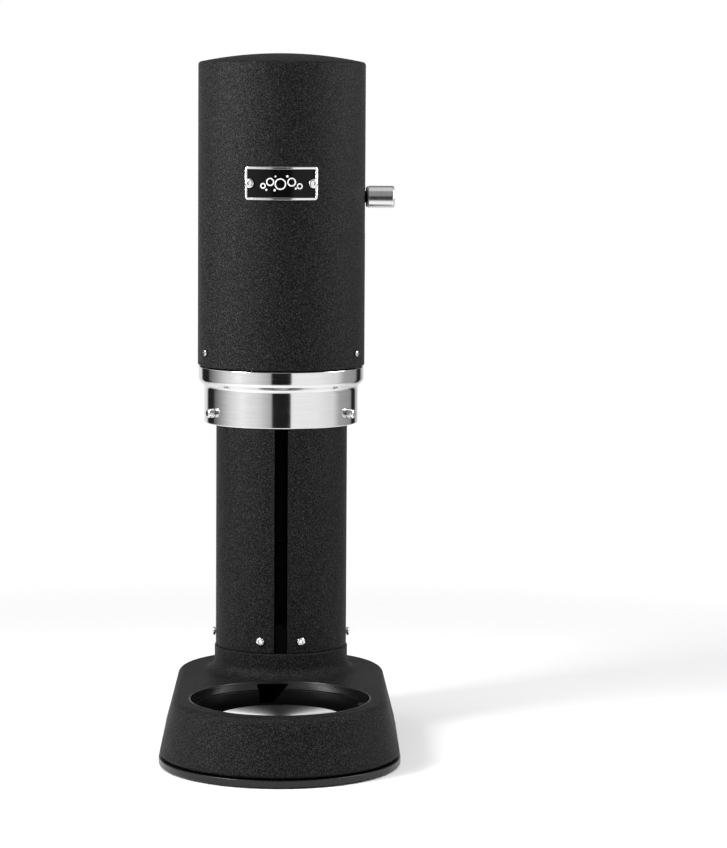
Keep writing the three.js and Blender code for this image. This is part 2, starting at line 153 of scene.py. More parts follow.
def tidyMesh(mesh):
    bmesh.ops.remove_doubles(mesh, verts=mesh.verts, dist=detail["weld"])
    bmesh.ops.dissolve_degenerate(mesh, edges=mesh.edges, dist=detail["sliver"])
    loose = [edge for edge in mesh.edges if not edge.link_faces]
    bmesh.ops.delete(mesh, geom=loose, context="EDGES")
    bmesh.ops.recalc_face_normals(mesh, faces=mesh.faces)
    return mesh


def sweep(path, profile):
    # carries a closed profile of (offset, height) round a closed path of (x, y, outward x, outward y)
    mesh = bmesh.new()
    rings = []
    for x, y, outX, outY in path:
        rings.append([mesh.verts.new((x + outX * out, y + outY * out, height)) for out, height in profile])
    for i, ring in enumerate(rings):
        beside = rings[(i + 1) % len(rings)]
        for j in range(len(profile)):
            k = (j + 1) % len(profile)
            mesh.faces.new((ring[j], ring[k], beside[k], beside[j]))
    return tidyMesh(mesh)


def turned(corners, y=0, steps=128):
    return sweep(circlePath(0, y, steps), rounded(corners))


def rod(radius, low, high, y=0, steps=128):
    return turned([(0, low), (radius, low), (radius, high), (0, high)], y, steps)


def prism(outline, low, high):
    mesh = bmesh.new()
    bottom = [mesh.verts.new((x, y, low)) for x, y in outline]
    top = [mesh.verts.new((x, y, high)) for x, y in outline]
    mesh.faces.new(bottom)
    mesh.faces.new(top)
    for i in range(len(outline)):
        k = (i + 1) % len(outline)
        mesh.faces.new((bottom[i], bottom[k], top[k], top[i]))
    bmesh.ops.recalc_face_normals(mesh, faces=mesh.faces)
    return mesh


def block(x0, x1, y0, y1, z0, z1, corner=None):
    corners = [(x0, y0), (x1, y0), (x1, y1), (x0, y1)]
    if corner:
        corners = [(x, y, corner) for x, y in corners]
    return prism(rounded(corners), z0, z1)


def sector(inner, outer, start, stop, low, high, steps=24):
    # part of a ring, between two angles counted from the front, positive to the right
    outline = []
    for radius, first, last in ((outer, start, stop), (inner, stop, start)):
        for i in range(steps + 1):
            angle = math.radians(first + (last - first) * i / steps)
            outline.append((radius * math.sin(angle), -radius * math.cos(angle)))
    return prism(outline, low, high)


def moved(mesh, x=0, y=0, z=0):
    mesh.transform(Matrix.Translation((x, y, z)))
    return mesh


def radial(mesh, angle, z, y):
    # lays a mesh made along +z so that it points outwards from an upright axis
    mesh.transform(Matrix.Rotation(math.radians(90), 4, "X"))
    mesh.transform(Matrix.Rotation(math.radians(angle), 4, "Z"))
    return moved(mesh, 0, y, z)


def setRadially(made, angle, z, y):
    # the same for a finished object
    made.data.transform(Matrix.Rotation(math.radians(90), 4, "X"))
    made.data.transform(Matrix.Rotation(math.radians(angle), 4, "Z"))
    made.data.transform(Matrix.Translation((0, y, z)))


def upright(mesh, y=0):
    # a flat outline in x and height, made thick towards the front
    mesh.transform(Matrix.Rotation(math.radians(90), 4, "X"))
    return moved(mesh, 0, y)


def wrapped(mesh, radius, z, y):
    # bends a flat mesh round an upright axis: x runs round it, y goes up and z stands off
    for vert in mesh.verts:
        angle = vert.co.x / radius
        out = radius + vert.co.z
        vert.co = (out * math.sin(angle), y - out * math.cos(angle), z + vert.co.y)
    bmesh.ops.recalc_face_normals(mesh, faces=mesh.faces)
    return mesh


def thing(name, mesh):
    data = bpy.data.meshes.new(name)
    mesh.to_mesh(data)
    mesh.free()
    made = bpy.data.objects.new(name, data)
    bpy.context.scene.collection.objects.link(made)
    return made


def applied(made):
    # turns an object's modifiers into plain mesh
    graph = bpy.context.evaluated_depsgraph_get()
    data = bpy.data.meshes.new_from_object(made.evaluated_get(graph))
    made.modifiers.clear()
    made.data = data
    return made


def combined(made, operation, meshes):
    tools = [thing("tool", mesh) for mesh in meshes]
    for tool in tools:
        modifier = made.modifiers.new("combine", "BOOLEAN")
        modifier.operation = operation
        modifier.solver = "EXACT"
        modifier.object = tool
    applied(made)
    for tool in tools:
        bpy.data.objects.remove(tool)
    mesh = bmesh.new()
    mesh.from_mesh(made.data)
    bmesh.ops.remove_doubles(mesh, verts=mesh.verts, dist=detail["cutWeld"])
    bmesh.ops.dissolve_degenerate(mesh, edges=mesh.edges, dist=detail["cutSliver"])
    mesh.to_mesh(made.data)
    mesh.free()
    return made


def cut(made, *meshes):
    return combined(made, "DIFFERENCE", meshes)


def join(made, *meshes):
    return combined(made, "UNION", meshes)


def eased(made, width, segments=3, angle=40):
    # rounds the sharp edges
    modifier = made.modifiers.new("ease", "BEVEL")
    modifier.width = width
    modifier.segments = segments
    modifier.limit_method = "ANGLE"
    modifier.angle_limit = math.radians(angle)
    return applied(made)


def piece(made, body, slot, material, *replaced, sharp=35):
    # brings a finished shape to metres, smooths it and hands it to its body
    made.data.transform(Matrix.Scale(mm, 4))
    made.data.shade_smooth()
    made.data.set_sharp_from_angle(angle=math.radians(sharp))
    modifier = made.modifiers.new("weigh", "WEIGHTED_NORMAL")
    modifier.keep_sharp = True
    applied(made)
    made.data.materials.clear()
    made.data.materials.append(material)
    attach(made, body)
    if replaced:
        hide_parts(*replaced)
    return made


# node trees

class Wire:
    # an output socket; sums on it add Math nodes
    def __init__(self, tree, socket):
        self.tree = tree
        self.socket = socket

    def maths(self, operation, first, second):
        return self.tree.add("ShaderNodeMath", {"operation": operation}, {0: first, 1: second})

    def __add__(self, other):
        return self.maths("ADD", self, other)

    def __radd__(self, other):
        return self.maths("ADD", other, self)

    def __sub__(self, other):
        return self.maths("SUBTRACT", self, other)

    def __rsub__(self, other):
        return self.maths("SUBTRACT", other, self)

    def __mul__(self, other):
        return self.maths("MULTIPLY", self, other)

    def __rmul__(self, other):
        return self.maths("MULTIPLY", other, self)

    def __truediv__(self, other):
        return self.maths("DIVIDE", self, other)

    def __pow__(self, other):
        return self.maths("POWER", self, other)


class Nodes:
    def __init__(self, owner):
        owner.use_nodes = True
        self.tree = owner.node_tree
        self.tree.nodes.clear()

    def add(self, kind, settings=None, inputs=None, output=0):
        node = self.tree.nodes.new(kind)
        for name, value in (settings or {}).items():
            if name == "stops":
                self.setStops(node.color_ramp, value)
            else:
                setattr(node, name, value)
        for name, value in (inputs or {}).items():
            if isinstance(value, Wire):
                self.tree.links.new(value.socket, node.inputs[name])
            else:
                node.inputs[name].default_value = value
        if not len(node.outputs):
            return node
        return Wire(self, node.outputs[output])

    def setStops(self, ramp, stops):
        while len(ramp.elements) > 1:
            ramp.elements.remove(ramp.elements[-1])
        for i, (place, level) in enumerate(stops):
            element = ramp.elements[0] if i == 0 else ramp.elements.new(place)
            element.position = place
            element.color = (level, level, level, 1)

    def places(self, stretch=(1, 1, 1)):
        # object coordinates, in metres, stretched for grain that runs one way
        where = self.add("ShaderNodeTexCoord", output=3)
        return self.add("ShaderNodeVectorMath", {"operation": "MULTIPLY"}, {0: where, 1: stretch})

    def noise(self, where, scale, detail=2.0, roughness=0.5):
        return self.add("ShaderNodeTexNoise", None, {
            "Vector": where, "Scale": scale, "Detail": detail, "Roughness": roughness})

    def steps(self, value, stops):
        return self.add("ShaderNodeValToRGB", {"stops": stops}, {"Fac": value})

    def tint(self, share, first, second):
        return self.add("ShaderNodeMix", {"data_type": "RGBA"}, {0: share, 6: first, 7: second}, output=2)

    def bump(self, height, strength, distance):
        inputs = {"Height": height, "Strength": strength, "Distance": distance}
        return self.add("ShaderNodeBump", None, inputs)


def grey(level, blue=0.0):
    return (level, level, level * (1 + blue), 1)


def surface(name, constants, build):
    # a material: constants go straight on the shader, and build gives what varies
    material = bpy.data.materials.new(name)
    nodes = Nodes(material)
    inputs = dict(constants)
    inputs.update(build(nodes))
    shader = nodes.add("ShaderNodeBsdfPrincipled", None, inputs)
    nodes.add("ShaderNodeOutputMaterial", None, {"Surface": shader})
    return material


# finishes

coat = {
    "grain": 1200, "fineGrain": 1900, "coarseShare": 0.7, "fineShare": 0.3, "drift": 14,
    "specks": [(0.44, 0.0), (0.51, 0.12), (0.585, 1.0)], "dark": 0.0, "light": 0.038, "roughness": 0.52,
    "speckGloss": -0.10, "driftGloss": 0.06, "bump": 1.0, "depth": 0.00045, "specular": 0.09,
}


def buildCoat(nodes):
    where = nodes.places()
    coarse = nodes.noise(where, coat["grain"], 4, 0.8)
    fine = nodes.noise(where, coat["fineGrain"], 2, 0.7)
    grain = coarse * coat["coarseShare"] + fine * coat["fineShare"]
    specks = nodes.steps(grain, coat["specks"])
    drift = nodes.noise(where, coat["drift"])
    return {
        "Base Color": nodes.tint(specks, grey(coat["dark"], 0.04), grey(coat["light"], 0.03)),
        "Roughness": specks * coat["speckGloss"] + drift * coat["driftGloss"] + coat["roughness"],
        "Normal": nodes.bump(grain, coat["bump"], coat["depth"]),
    }


powderCoat = surface("powderCoat", {"Specular IOR Level": coat["specular"]}, buildCoat)

steelGrain = {
    "patches": 55, "marks": [(0.30, 0.0), (0.72, 1.0)], "dark": 0.90, "light": 1.06,
    "markGloss": 0.10, "patchGloss": 0.05, "depth": 0.00004,
}


def brushed(name, stretch, roughness, anisotropy=0.0, bump=0.12, colour=0.66):
    # fine lines that run across the direction with the large stretch
    def build(nodes):
        lines = nodes.noise(nodes.places(stretch), 1.0, 3, 0.65)
        patches = nodes.noise(nodes.places(), steelGrain["patches"])
        marks = nodes.steps(lines, steelGrain["marks"])
        gloss = marks * steelGrain["markGloss"] + patches * steelGrain["patchGloss"]
        dark = grey(colour * steelGrain["dark"])
        light = grey(colour * steelGrain["light"], 0.01)
        return {
            "Base Color": nodes.tint(marks, dark, light),
            "Roughness": gloss + (roughness - 0.06),
            "Normal": nodes.bump(lines, bump, steelGrain["depth"]),
        }
    return surface(name, {"Metallic": 1.0, "Anisotropic": anisotropy, "Anisotropic Rotation": 0.25}, build)


brushedSteel = brushed("brushedSteel", (40, 40, 5200), roughness=0.11, anisotropy=0.7, bump=0.05)
turnedSteel = brushed("turnedSteel", (5200, 60, 60), roughness=0.20)
polishedSteel = brushed("polishedSteel", (900, 900, 900), roughness=0.13, bump=0.04, colour=0.72)
plainSteel = brushed("plainSteel", (300, 300, 2600), roughness=0.30, colour=0.55)

discGrain = {
    "lines": 4200, "marks": [(0.3, 0.0), (0.72, 1.0)], "dark": 0.84, "light": 0.94, "roughness": 0.36,
    "markGloss": 0.10, "bump": 0.10, "depth": 0.00004, "anisotropy": 0.85,
}


def buildDisc(nodes):
    # lines that run round the middle of the disc
    where = nodes.places()
    level = nodes.add("ShaderNodeVectorMath", {"operation": "SUBTRACT"}, {0: where, 1: (0, nozzleY * mm, 0)})
    flat = nodes.add("ShaderNodeVectorMath", {"operation": "MULTIPLY"}, {0: level, 1: (1, 1, 0)})
    out = nodes.add("ShaderNodeVectorMath", {"operation": "LENGTH"}, {0: flat}, output=1)
    lines = nodes.add("ShaderNodeTexNoise", {"noise_dimensions": "1D"}, {
        "W": out * discGrain["lines"], "Scale": 1.0, "Detail": 3.0, "Roughness": 0.6})
    marks = nodes.steps(lines, discGrain["marks"])
    return {
        "Base Color": nodes.tint(marks, grey(discGrain["dark"]), grey(discGrain["light"])),
        "Roughness": marks * discGrain["markGloss"] + discGrain["roughness"],
        "Normal": nodes.bump(lines, discGrain["bump"], discGrain["depth"]),
    }


discSteel = surface("discSteel", {"Metallic": 1.0, "Anisotropic": discGrain["anisotropy"]}, buildDisc)

mouldGrain = {"slow": 35, "dark": 0.8, "light": 1.25, "gloss": 0.06, "depth": 0.00008}


def moulded(name, colour, roughness, grain=1500, bump=0.25, specular=0.5):
    # satin plastic, rubber or lacquer with a light grain and a slow change of gloss
    def build(nodes):
        where = nodes.places()
        fine = nodes.noise(where, grain)
        slow = nodes.noise(where, mouldGrain["slow"])
        gloss = fine * mouldGrain["gloss"] + slow * mouldGrain["gloss"]
        dark, light = grey(colour * mouldGrain["dark"]), grey(colour * mouldGrain["light"])
        return {
            "Base Color": nodes.tint(slow, dark, light),
            "Roughness": gloss + (roughness - mouldGrain["gloss"]),
            "Normal": nodes.bump(fine, bump, mouldGrain["depth"]),
        }
    return surface(name, {"Specular IOR Level": specular}, build)


satinPlastic = moulded("satinPlastic", colour=0.002, roughness=0.36, specular=0.12)
softRubber = moulded("softRubber", colour=0.016, roughness=0.78, grain=1100, bump=0.4)
glossBlack = moulded("glossBlack", colour=0.003, roughness=0.12, grain=700, bump=0.02, specular=0.12)
plateBlack = moulded("plateBlack", colour=0.004, roughness=0.27, grain=900, bump=0.05, specular=0.35)
darkLacquer = moulded("darkLacquer", colour=0.0015, roughness=0.40, grain=900, bump=0.05, specular=0.05)
# painted shade: a darker, duller copy of the black plastic for parts deep in the slot and the well, where
# little light reaches
paintedShadeBlack = moulded("paintedShadeBlack", colour=0.0009, roughness=0.45, specular=0.04)
mouthBlack = moulded("mouthBlack", colour=0.004, roughness=0.24, grain=900, bump=0.03)
whiteEnamel = moulded("whiteEnamel", colour=0.74, roughness=0.25, grain=900, bump=0.02)

metalGrain = {
    "fine": 1300, "slow": 40, "deep": 0.82, "fineGloss": 0.10, "slowGloss": 0.08,
    "bump": 0.15, "depth": 0.00005,
}


def metal(name, colour, roughness):
    def build(nodes):
        where = nodes.places()
        fine = nodes.noise(where, metalGrain["fine"], 3, 0.6)
        slow = nodes.noise(where, metalGrain["slow"])
        gloss = fine * metalGrain["fineGloss"] + slow * metalGrain["slowGloss"]
        deep = tuple(c * metalGrain["deep"] for c in colour) + (1,)
        return {
            "Base Color": nodes.tint(slow, deep, colour + (1,)),
            "Roughness": gloss + (roughness - metalGrain["slowGloss"]),
            "Normal": nodes.bump(fine, metalGrain["bump"], metalGrain["depth"]),
        }
    return surface(name, {"Metallic": 1.0}, build)


satinAluminium = metal("satinAluminium", (0.55, 0.56, 0.58), roughness=0.38)
turnedBrass = metal("turnedBrass", (0.60, 0.45, 0.22), roughness=0.28)

slotFinish = {
    "powder_coat": powderCoat,
    "gloss_black": plateBlack,
    "black_plastic": satinPlastic,
    "steel": plainSteel,
    "aluminium": satinAluminium,
    "dark_lacquer": darkLacquer,
    "brass": turnedBrass,
    "rubber": softRubber,
}
for part in frame["record"]["subparts"]:
    node = frame["nodes"][part["node"]]
    node.data.materials.clear()
    node.data.materials.append(slotFinish[part["material_slot"]])
print("finishes made:", len(bpy.data.materials))


# the base and what is in it

base = {
    "deck": 44.8, "deckEdge": 72.7, "deckRound": 5.0, "wall": 3.3, "footRound": 2.6,
    "mouth": 61.2, "mouthRound": 0.8, "wellRadius": 60.1, "wellWall": 3.3, "wellCore": 50, "wellFoot": 8.6,
    "under": 52, "underFrom": 7.6, "linerGap": 0.3, "ledge": 1.3, "collarGap": 0.8, "collarRound": 1.3,
    "fillet": 8.2, "bore": 44.8, "boreFloor": 43.7, "shaft": 34.5, "shaftFrom": 38,
}
notch = {"left": -15.2, "right": -4.8, "slant": 6.2, "low": 29, "high": 43.4, "thick": 12, "back": 55.7}
deckZ = base["deck"]
skirtZ, collarTop = ends("base_housing")
linerLow, linerTop = ends("well_liner")
ledgeZ = linerTop - base["ledge"]
collarRadius = reach("column_shell") + base["collarGap"]


def flare(inner, edge, height, steps=5):
    # the upper end of a cutting tool, which leaves a rounded edge behind
    points = []
    for i in range(steps + 1):
        angle = math.radians(90 * i / steps)
        points.append((inner + edge * (1 - math.cos(angle)), height - edge * (1 - math.sin(angle))))
    return points + [(inner + edge, height + 1)]


def wellNotch(ease=0.0):
    # the opening at the back of the well: one side upright, the other slanted
    left, right, slant = notch["left"] - ease, notch["right"] + ease, notch["slant"] + ease
    low, high = notch["low"] - ease, notch["high"] + ease
    outline = [
        (left, low), (right, low), (slant, high, 0.6), (-16 - ease, high, 0.6),
        (-16.7 - ease, 41.8), (left, 39),
    ]
    return upright(prism(rounded(outline), -notch["thick"], 0), nozzleY + notch["back"])


def makeBase():
    foot = reach("base_housing")
    edge, fillet = base["deckEdge"], base["fillet"]
    outline = rounded([
        (0, deckZ), (edge, deckZ, base["deckRound"]), (foot + 0.1, skirtZ, base["footRound"]),
        (foot - base["wall"], skirtZ), (edge - base["wall"], deckZ - base["wall"]), (0, deckZ - base["wall"]),
    ])
    made = thing("baseCasting", sweep(twoCirclePath(), outline))
    collar = [(0, deckZ - 2), (collarRadius + fillet, deckZ - 2)]
    for degrees in range(0, 91, 9):
        angle = math.radians(degrees)
        out = collarRadius + fillet * (1 - math.sin(angle))
        collar.append((out, deckZ + 0.02 + fillet * (1 - math.cos(angle))))
    collar += [(collarRadius, collarTop, base["collarRound"]), (0, collarTop)]
    outer, foot = base["wellRadius"] + base["wellWall"], base["wellFoot"]
    wall = turned([
        (base["wellCore"], foot), (outer, foot), (outer, deckZ - 1.6), (base["wellCore"], deckZ - 1.6),
    ], nozzleY, 144)
    join(made, turned(collar, columnY, 144), wall)
    under = linerLow - base["linerGap"]
    hollow = [(0, base["underFrom"]), (base["under"], base["underFrom"]), (base["under"], under)]
    hollow += [(base["wellRadius"], under), (base["wellRadius"], ledgeZ, 0.4), (base["mouth"], ledgeZ)]
    hollow += flare(base["mouth"], base["mouthRound"], deckZ)
    hollow += [(0, deckZ + 1)]
    bore = [(0, base["shaftFrom"]), (base["shaft"], base["shaftFrom"])]
    bore += [(base["shaft"], base["boreFloor"]), (base["bore"], base["boreFloor"])]
    bore += flare(base["bore"], 0.5, collarTop, 3) + [(0, collarTop + 1)]
    cut(made, turned(hollow, nozzleY, 144), turned(bore, columnY, 144), wellNotch())
    piece(made, "stand", "powder_coat", powderCoat, "base_housing")


well = {
    "rim": 2.2, "wall": 1.1, "floor": 1.4, "floorRound": 2.2, "standOuter": 41, "standInner": 38.5,
    "standRound": 1.5, "discThick": 2.3, "bead": 0.9, "beadRound": 0.55,
}
catches = {
    "left": -42, "right": 78, "half": 5, "inner": 54.4, "stem": 59.2, "outer": 60.9,
    "hookLow": 40.1, "stemTop": 41,
}


def makeWell():
    inner = reach("well_liner") - well["rim"]
    outer, rim = inner + well["wall"], inner + well["rim"]
    floor = linerLow + well["floor"]
    top = ends("drip_disc")[1] - well["discThick"]
    made = thing("wellLiner", turned([
        (0, linerLow), (outer, linerLow, 0.6), (outer, linerTop - 1), (rim, linerTop - 1, 0.2),
        (rim, linerTop, 0.3), (inner, linerTop, 0.45), (inner, floor, well["floorRound"]),
        (well["standOuter"], floor, well["standRound"]), (well["standOuter"], top, 0.5),
        (well["standInner"], top, 0.5), (well["standInner"], floor, well["standRound"]), (0, floor),
    ], nozzleY, 144))
    cut(made, wellNotch(-0.5))
    piece(made, "stand", "black_plastic", satinPlastic, "well_liner")
    # a thin bead lines the mouth
    wall, bead = base["mouth"], base["mouth"] + well["bead"]
    made = thing("mouthBead", turned([
        (wall - 0.2, linerTop + 0.2), (wall, linerTop + 0.2), (wall, deckZ - 0.8), (bead, deckZ - 0.05),
        (bead, deckZ + 0.2, 0.2), (wall - 0.2, deckZ + 0.2, well["beadRound"]),
    ], nozzleY, 144))
    cut(made, wellNotch(-0.1))
    piece(made, "stand", "black_plastic", mouthBlack)
    for side in ("left", "right"):
        node = "catch_" + side
        low, high = ends(node)
        start, stop = catches[side] - catches["half"], catches[side] + catches["half"]
        hook = sector(catches["inner"], catches["outer"], start, stop, catches["hookLow"], high)
        made = thing("catch" + side.title(), hook)
        join(made, sector(catches["stem"], catches["outer"], start, stop, low, catches["stemTop"]))
        made.data.transform(Matrix.Translation((0, nozzleY, 0)))
        eased(made, 0.35)
        # the catches take the black plastic darkened as painted shade
        piece(made, "stand", "black_plastic", paintedShadeBlack, node)


disc = {"thick": 2, "rim": 1.3, "rimRound": 1.1}


def makeDisc():
    low, top = ends("drip_disc")
    edge = reach("drip_disc")
    under, inner = top - disc["thick"], edge - disc["rim"]
    made = thing("dripDisc", turned([
        (0, under), (inner, under, 0.6), (inner, low, 0.3), (edge, low, 0.3),
        (edge, top, disc["rimRound"]), (0, top),
    ], nozzleY, 144))
    piece(made, "disc", "steel", discSteel, "drip_disc")


plate = {
    "edgeRound": 0.6, "lowRound": 0.7, "hatchHole": 34.3, "lugInner": 30, "lugOuter": 37.5,
    "lugAngles": (60, 240), "footHole": 9.3, "footDepth": 2.6, "headHole": 3.9, "headDepth": 3.7,
    "shankHole": 2.2, "through": 8, "screwHead": 3.6, "screwShank": 1.9, "screwRecess": 1.9,
}
corners = ("front_left", "front_right", "rear_left", "rear_right")


def joined(words):
    return "".join(word.title() for word in words.split("_"))


def centreOf(node):
    return middle(node, "x"), middle(node, "y")


def crossRecess(reachOut, width, low, high):
    half = width / 2
    out = [(half, half), (reachOut, half), (reachOut, -half), (half, -half)]
    outline = []
    for turn in range(4):
        angle = math.radians(-90 * turn)
        along, across = math.cos(angle), math.sin(angle)
        outline += [(x * along - y * across, x * across + y * along) for x, y in out[:3]]
    return prism(outline, low, high)


def makePlate():
    low, high = ends("bottom_plate")
    radius = reach("bottom_plate")
    slab = sweep(twoCirclePath(), rounded([
        (0, low), (radius, low, plate["lowRound"]), (radius, high, plate["edgeRound"]), (0, high),
    ]))
    # without this the cuts leave slivers
    bmesh.ops.dissolve_limit(slab, angle_limit=math.radians(0.1), verts=slab.verts, edges=slab.edges)
    made = thing("bottomPlate", slab)
    through = plate["through"]
    tools = [rod(plate["hatchHole"], 0, through, columnY)]
    for angle in plate["lugAngles"]:
        way = sector(plate["lugInner"], plate["lugOuter"], angle + 76, angle + 104, 0, through)
        tools.append(moved(way, 0, columnY))
    for place in corners:
        x, y = centreOf("foot_" + place)
        tools.append(moved(rod(plate["footHole"], 0, plate["footDepth"], 0, 48), x, y))
        x, y = centreOf("plate_screw_" + place)
        hole = turned([
            (0, 0), (plate["headHole"], 0), (plate["headHole"], plate["headDepth"]),
            (plate["shankHole"], plate["headDepth"]), (plate["shankHole"], through), (0, through),
        ], 0, 32)
        tools.append(moved(hole, x, y))
    cut(made, *tools)
    piece(made, "stand", "gloss_black", plateBlack, "bottom_plate")
    for place in corners:
        makeFoot(place)
        makePlateScrew(place)


def makeFoot(place):
    # a rubber foot with a groove under it
    node = "foot_" + place
    x, y = centreOf(node)
    top = ends(node)[1]
    shape = [
        (0, 0), (3.4, 0, 0.2), (3.9, 0.5), (4.9, 0.5), (5.4, 0, 0.2), (8.9, 0, 0.7), (9, top, 0.3), (0, top),
    ]
    foot = thing("foot" + joined(place), moved(turned(shape, 0, 64), x, y))
    piece(foot, "stand", "rubber", softRubber, node)


def makePlateScrew(place):
    node = "plate_screw_" + place
    x, y = centreOf(node)
    low, high = ends(node)
    head, shank = plate["screwHead"], plate["screwShank"]
    seat = low + 2
    shape = [(0, low), (head, low, 0.5), (head, seat, 0.2), (shank, seat), (shank, high, 0.5), (0, high)]
    screw = thing("plateScrew" + joined(place), moved(turned(shape, 0, 40), x, y))
    cut(screw, moved(crossRecess(plate["screwRecess"], 0.9, low - 1, low + 1.2), x, y))
    piece(screw, "stand", "steel", polishedSteel, node)


hatch = {
    "face": 34, "neck": 33, "step": 5.4, "lugInner": 28, "lugOuter": 37, "lugLow": 6,
    "gripHalf": 13, "gripWide": 1.3, "gripDeep": 3,
}


def makeHatch():
    low, high = ends("cylinder_hatch")
    face, neck, step = hatch["face"], hatch["neck"], hatch["step"]
    made = thing("cylinderHatch", turned([
        (0, low), (face, low, 0.7), (face, step, 0.3), (neck, step), (neck, high, 0.5), (0, high),
    ], columnY))
    lugs = []
    for angle in (0, 180):
        lug = sector(hatch["lugInner"], hatch["lugOuter"], angle + 78, angle + 102, hatch["lugLow"], high)
        lugs.append(moved(lug, 0, columnY))
    join(made, *lugs)
    half, wide = hatch["gripHalf"], hatch["gripWide"]
    cut(made, moved(block(-half, half, -wide, wide, 0, hatch["gripDeep"], 1.2), 0, columnY))
    piece(made, "hatch", "black_plastic", satinPlastic, "cylinder_hatch")


makeBase()
makeWell()
makeDisc()
makePlate()
makeHatch()
print("base made")


# the column

column = {
    "wall": 2.0, "slot": 4.65, "slotRound": 0.5, "slotEnd": 8, "screwHole": 1.9,
    "capWall": 2.7, "capGap": 2.4,
}
columnScrew = {"radius": 2.9, "seat": 0.3, "face": 2.3, "shank": 1.5, "from": 41, "recess": 1.6}
columnScrews = {"front_left": -17.5, "front_right": 17.5, "side_left": -90, "side_right": 90}


def socketScrew(name, screw, on, angle, height, y):
    # a pan-head screw that lies along a radius, with a hexagon socket in its head
    radius, shank, start = screw["radius"], screw["shank"], screw["from"]
    seat, face = on + screw["seat"], on + screw["face"]
    made = thing(name, turned([
        (0, start), (shank, start, 0.3), (shank, seat), (radius, seat, 0.15), (radius, face - 0.5, 0.5),
        (radius * 0.72, face, 1.2), (0, face),
    ], 0, 48))
    hole = []
    for i in range(6):
        turn = 2 * math.pi * i / 6
        hole.append((screw["recess"] * math.cos(turn), screw["recess"] * math.sin(turn)))
    cut(made, prism(hole, face - 1.1, face + 1))
    setRadially(made, angle, height, y)
    return made


def makeColumn():
    radius = reach("column_shell")
    inner = radius - column["wall"]
    low, high = ends("column_shell")
    made = thing("columnTube", turned([
        (inner, low), (radius, low, 0.35), (radius, high, 0.35), (inner, high),
    ], columnY, 160))
    half, edge = column["slot"], column["slotRound"]
    face = math.sqrt(radius ** 2 - half ** 2)
    side = [(half, -30), (half, -face + edge)]
    for i in range(1, 5):
        angle = math.radians(22.5 * i)
        side.append((half + edge * (1 - math.cos(angle)), -face + edge * (1 - math.sin(angle))))
    side.append((half + edge, -face - 4))
    outline = side + [(-x, y) for x, y in reversed(side)]
    tools = [moved(prism(outline, low - 5, high - column["slotEnd"]), 0, columnY)]
    screwZ = middle("column_screw_side_left", "z")
    for angle in columnScrews.values():
        tools.append(radial(rod(column["screwHole"], 40, 50, 0, 24), angle, screwZ, columnY))
    cut(made, *tools)
    piece(made, "stand", "powder_coat", powderCoat, "column_shell")
    low, high = ends("column_cap")
    inner = reach("column_foot_ring") - column["capWall"]
    neck = radius - column["capGap"]
    made = thing("columnCap", turned([
        (0, low + 5), (inner, low + 5), (inner, low), (neck, low, 0.3), (neck, low + 5.3),
        (radius, low + 5.3, 0.2), (radius, high - 2, 2.2), (radius * 0.5, high - 0.5), (0, high),
    ], columnY, 160))
    piece(made, "stand", "powder_coat", powderCoat, "column_cap")
    for place, angle in columnScrews.items():
        made = socketScrew("columnScrew" + joined(place), columnScrew, radius, angle, screwZ, columnY)
        piece(made, "stand", "steel", polishedSteel, "column_screw_" + place)


inside = {
    "stopRound": 0.35, "stopHole": 1.5, "cradleWall": 1.3, "foot": 13, "shoulder": 30, "shoulderRound": 20,
}


def makeInsides():
    # what shows through the slot: the stop at its foot, the cradle and the cylinder; the stop and cradle take
    # the black plastic darkened as painted shade
    (x0, x1), (y0, y1), (z0, z1) = [ends("slot_end_stop", axis) for axis in "xyz"]
    made = thing("slotStop", block(x0, x1, y0, y1, z0, z1))
    cut(made, moved(rod(inside["stopHole"], 0, 20, 0, 32), 3.6, y0 - 0.4, z1 - 2.6))
    eased(made, inside["stopRound"])
    piece(made, "stand", "black_plastic", paintedShadeBlack, "slot_end_stop")
    low, high = ends("cylinder_cradle")
    outer = reach("cylinder_cradle")
    inner = outer - inside["cradleWall"]
    made = thing("cylinderCradle", turned([
        (inner, low, 0.3), (outer, low, 0.3), (outer, high, 0.5), (inner, high, 0.5),
    ], columnY))
    piece(made, "stand", "black_plastic", paintedShadeBlack, "cylinder_cradle")
    low, high = ends("gas_cylinder")
    radius = reach("gas_cylinder")
    made = thing("gasCylinder", turned([
        (0, low + 3), (radius - inside["foot"], low, 3), (radius, low, 4),
        (radius, high - inside["shoulder"], inside["shoulderRound"]),
        (14, high - 5, 9), (12, high, 1), (0, high),
    ], columnY))
    piece(made, "stand", "dark_lacquer", darkLacquer, "gas_cylinder")


makeColumn()
makeInsides()
print("column made")


# the head

head = {
    "wall": 2.0, "domeRadius": 265.0, "rimRound": 2.4, "footRound": 0.9, "window": 5.2, "leverWay": 4.6,
    "leverTravel": 22, "screwAngle": 62, "screwZ": 283.2, "screwHole": 1.6,
}
shellScrew = {
    "radius": 2.0, "shank": 1.2, "from": 49.5, "seat": 56.65, "face": 58.3, "slot": 57.6, "turn": 25,
}
leverZ = middle("lever_knob", "z")


def dome(radius, apex, curve):
    return apex - (curve - math.sqrt(curve ** 2 - radius ** 2))


